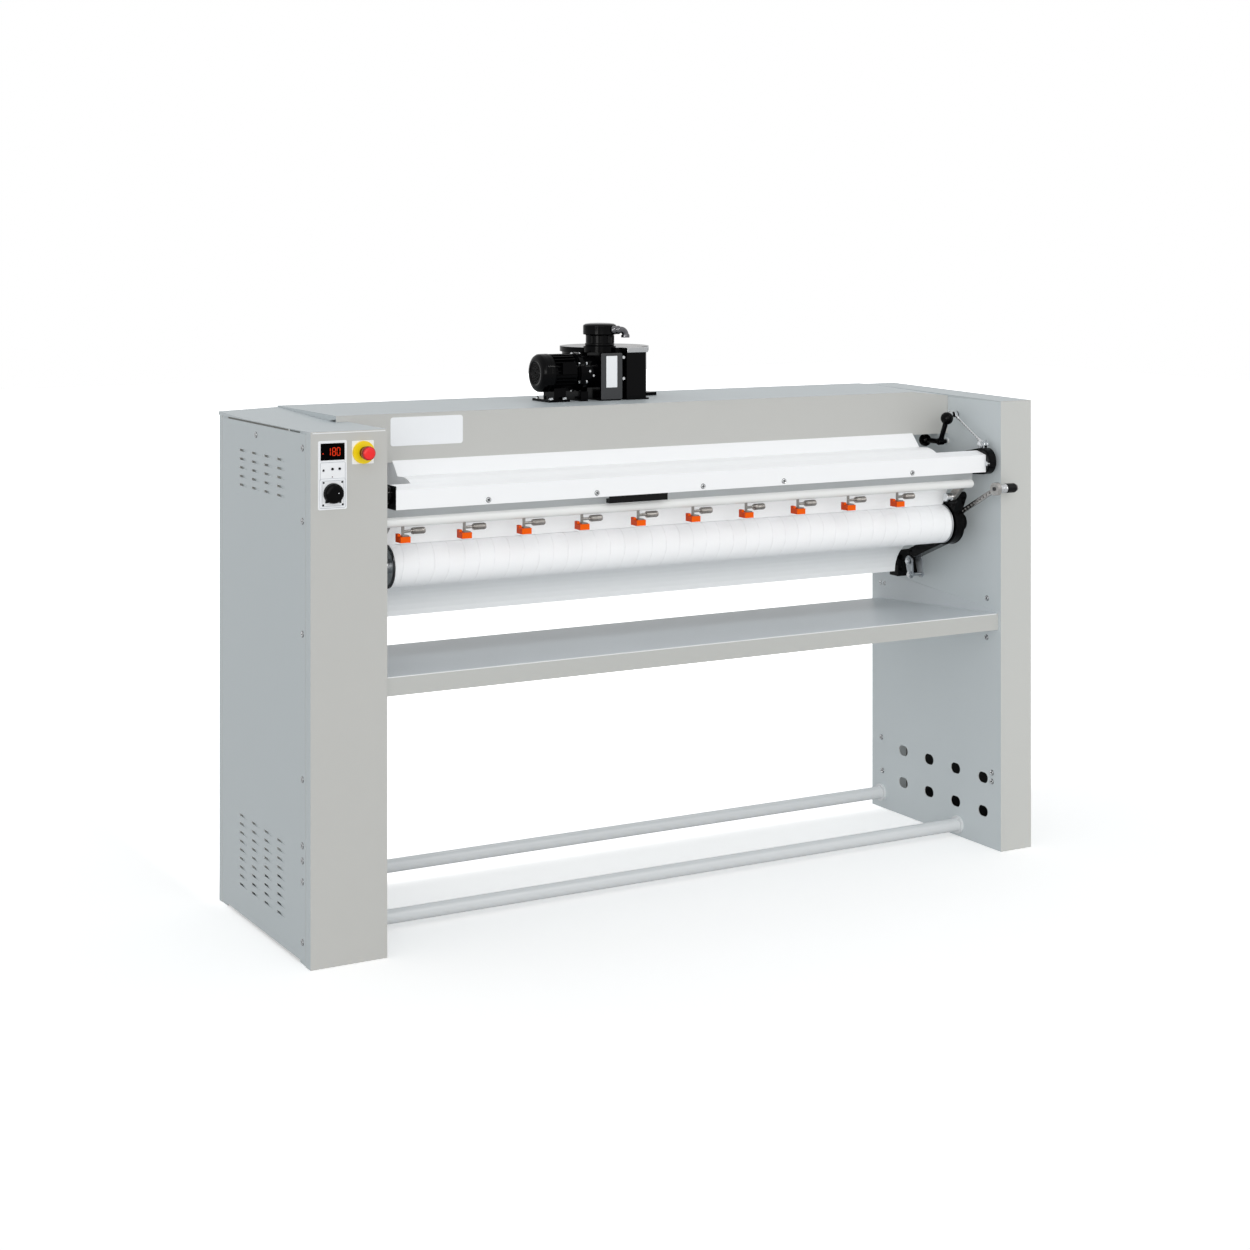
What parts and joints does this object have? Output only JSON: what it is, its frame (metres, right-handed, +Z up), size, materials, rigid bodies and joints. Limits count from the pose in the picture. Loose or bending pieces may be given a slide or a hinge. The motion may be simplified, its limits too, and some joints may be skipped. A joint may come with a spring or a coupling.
{
  "type": "flatwork ironer",
  "caption": "Free-standing flatwork ironer with a padded roll under a hinged heated shoe, a guard bar with strip clips, a linen shelf, end cabinets, a top beam and a vapour pump.",
  "frame": {"origin": "on the floor, under the middle of the overall box", "axes": "+X along the roll to the operator's right, +Y away from the operator towards the rear, +Z up"},
  "size_m": [1.8048, 0.58, 1.237],
  "materials": {
    "grey_paint": "satin powder coat",
    "white_enamel": "gloss enamel",
    "frame_steel": "mill finish",
    "zinc_screws": "bright zinc",
    "ground_steel": "ground",
    "lever_steel": "worn",
    "chrome_parts": "polished",
    "black_casting": "black paint",
    "pump_black": "gloss black paint",
    "black_plastic": "moulded",
    "grey_plastic": "moulded",
    "pale_plastic": "moulded",
    "control_white": "printed film",
    "display_black": "lens",
    "yellow_plastic": "moulded",
    "red_plastic": "moulded",
    "orange_plastic": "moulded",
    "padding_cloth": "woven polyester over felt"
  },
  "bodies": {
    "frame": {"left_cabinet_shell": "grey_paint", "left_side_panel": "grey_paint", "right_cabinet_shell": "grey_paint", "right_side_panel": "grey_paint", "top_covers": "grey_paint", "base_trays": "frame_steel", "panel_screws": "zinc_screws", "beam_shell": "grey_paint", "beam_lid": "grey_paint", "beam_tubes": "frame_steel", "rear_panel": "grey_paint", "floor_tubes": "grey_paint", "shelf": "grey_paint", "chute": "white_enamel", "badge_plate": "control_white", "hood": "white_enamel", "roll_bearings": "ground_steel", "bearing_arm": "black_casting", "arm_links": "ground_steel", "gear_motor": "pump_black", "drive_chain": "frame_steel", "contactor_board": "pale_plastic", "control_plate": "control_white", "display_module": "display_black", "stop_plate": "control_white", "stop_ring": "yellow_plastic", "pivot_brackets": "ground_steel", "pump_motor": "pump_black", "pump_fan_cover": "black_plastic", "pump_body": "pump_black", "pump_cap": "black_plastic", "pump_box": "pump_black"},
    "roll": {"roll_tube": "frame_steel", "roll_padding": "padding_cloth", "roll_rings": "ground_steel", "roll_journals": "ground_steel", "roll_sprocket": "frame_steel"},
    "drive": {"drive_sprocket": "frame_steel"},
    "shoe": {"ironing_shoe": "ground_steel", "shoe_heaters": "frame_steel", "shoe_bridge": "frame_steel", "front_cover": "white_enamel", "cover_grip": "black_plastic", "end_plates": "black_casting", "cover_screws": "zinc_screws", "link_clevis": "chrome_parts"},
    "lift_lever": {"ball_lever": "black_casting", "lever_balls": "black_plastic"},
    "link": {"link_rod": "chrome_parts"},
    "guard": {"guard_tube": "white_enamel", "guard_clips": "orange_plastic", "guard_brackets": "frame_steel"},
    "hand_lever": {"hand_lever": "lever_steel", "lever_hub": "black_casting"},
    "grip": {"lever_grip": "black_plastic"},
    "stop_button": {"stop_head": "red_plastic"},
    "knob": {"rotary_knob": "black_plastic"},
    "minus_key": {"key_minus": "grey_plastic"},
    "plus_key": {"key_plus": "grey_plastic"},
    "fan_rotor": {"pump_rotor": "black_plastic"}
  },
  "joints": [
    {"name": "roll_spin", "type": "hinge", "parent": "frame", "child": "roll", "pos_m": [0, -0.117, 0.756], "axis": [1, 0, 0], "continuous": true},
    {"name": "drive_spin", "type": "hinge", "parent": "frame", "child": "drive", "pos_m": [-0.819, -0.007, 0.566], "axis": [1, 0, 0], "continuous": true},
    {"name": "shoe_lift", "type": "hinge", "parent": "frame", "child": "shoe", "pos_m": [0, 0.08, 0.85], "axis": [1, 0, 0], "range_deg": [-7, 0]},
    {"name": "lever_turn", "type": "hinge", "parent": "frame", "child": "lift_lever", "pos_m": [0.764, -0.081, 0.945], "axis": [1, 0, 0], "range_deg": [-23, 0]},
    {"name": "link_swing", "type": "hinge", "parent": "shoe", "child": "link", "pos_m": [0.791, -0.211, 0.948], "axis": [1, 0, 0], "range_deg": [-8.8, 0]},
    {"name": "guard_swing", "type": "hinge", "parent": "frame", "child": "guard", "pos_m": [0, -0.165, 0.824], "axis": [1, 0, 0], "range_deg": [-10, 0]},
    {"name": "hand_lever_swing", "type": "hinge", "parent": "frame", "child": "hand_lever", "pos_m": [0.775, -0.117, 0.756], "axis": [1, 0, 0], "range_deg": [-4, 65]},
    {"name": "grip_spin", "type": "hinge", "parent": "hand_lever", "child": "grip", "pos_m": [0.817, -0.275, 0.85], "axis": [1, 0, 0], "continuous": true},
    {"name": "stop_press", "type": "slide", "parent": "frame", "child": "stop_button", "axis": [0, 1, 0], "range_m": [0, 0.004], "stiffness_N_per_m": 800},
    {"name": "knob_turn", "type": "hinge", "parent": "frame", "child": "knob", "pos_m": [-0.8547, -0.26, 0.929], "axis": [0, 1, 0], "range_deg": [-150, 150]},
    {"name": "minus_press", "type": "slide", "parent": "frame", "child": "minus_key", "axis": [0, 1, 0], "range_m": [0, 0.0015], "stiffness_N_per_m": 200},
    {"name": "plus_press", "type": "slide", "parent": "frame", "child": "plus_key", "axis": [0, 1, 0], "range_m": [0, 0.0015], "stiffness_N_per_m": 200},
    {"name": "fan_spin", "type": "hinge", "parent": "frame", "child": "fan_rotor", "pos_m": [-0.17, 0.11, 1.127], "axis": [1, 0, 0], "continuous": true}
  ],
  "couplings": [
    {"joint": "drive_spin", "follows": "roll_spin", "ratio": 2},
    {"joint": "lever_turn", "follows": "shoe_lift", "ratio": 3.2609},
    {"joint": "link_swing", "follows": "shoe_lift", "ratio": 1.2419}
  ]
}
